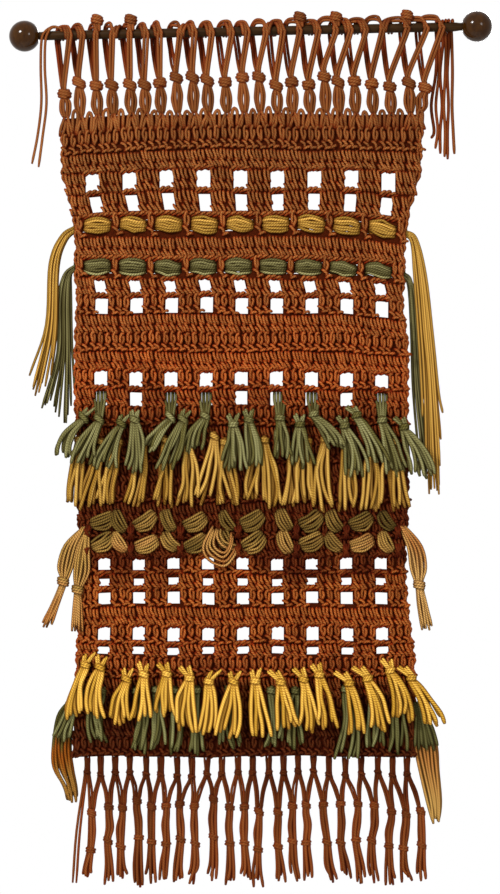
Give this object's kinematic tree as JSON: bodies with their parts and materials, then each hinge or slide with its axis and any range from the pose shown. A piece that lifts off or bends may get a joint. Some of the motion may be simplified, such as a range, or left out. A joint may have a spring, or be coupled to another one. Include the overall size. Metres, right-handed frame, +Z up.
{
  "type": "crochet wall hanging with its turned wooden rod",
  "caption": "Long brown crochet wall hanging with ribbon rows, yellow and green tassels and a knotted fringe, looped over a dark wooden rod with ball ends.",
  "frame": {"origin": "the middle of the rod, on its axis, where the hanging is held up", "axes": "+Z up, the worked face of the cloth looks along -Y, +X to the right as seen from the front"},
  "size_m": [0.5318, 0.037, 0.9604],
  "materials": {
    "dark_turned_wood": "dark stained, satin",
    "polished_ball_wood": "brown stained, polished",
    "brown_yarn": "plied cotton yarn, crocheted",
    "yellow_yarn": "plied cotton yarn",
    "green_yarn": "plied cotton yarn",
    "variegated_yarn": "plied cotton yarn, olive brown to gold"
  },
  "bodies": {
    "root": {"rod": "dark_turned_wood", "ball_left": "polished_ball_wood", "ball_right": "polished_ball_wood", "crochet_cloth": "brown_yarn", "hanging_loops": "brown_yarn", "bottom_fringe": "brown_yarn", "loose_cord_left": "brown_yarn", "loose_cords_right": "brown_yarn", "yellow_ribbon": "yellow_yarn", "upper_yellow_tassels": "yellow_yarn", "lower_yellow_tassels": "yellow_yarn", "green_ribbon": "green_yarn", "upper_green_tassels": "green_yarn", "lower_green_tassels": "green_yarn", "puff_band": "variegated_yarn", "side_tail_left": "variegated_yarn", "side_tail_right": "variegated_yarn"}
  },
  "joints": []
}
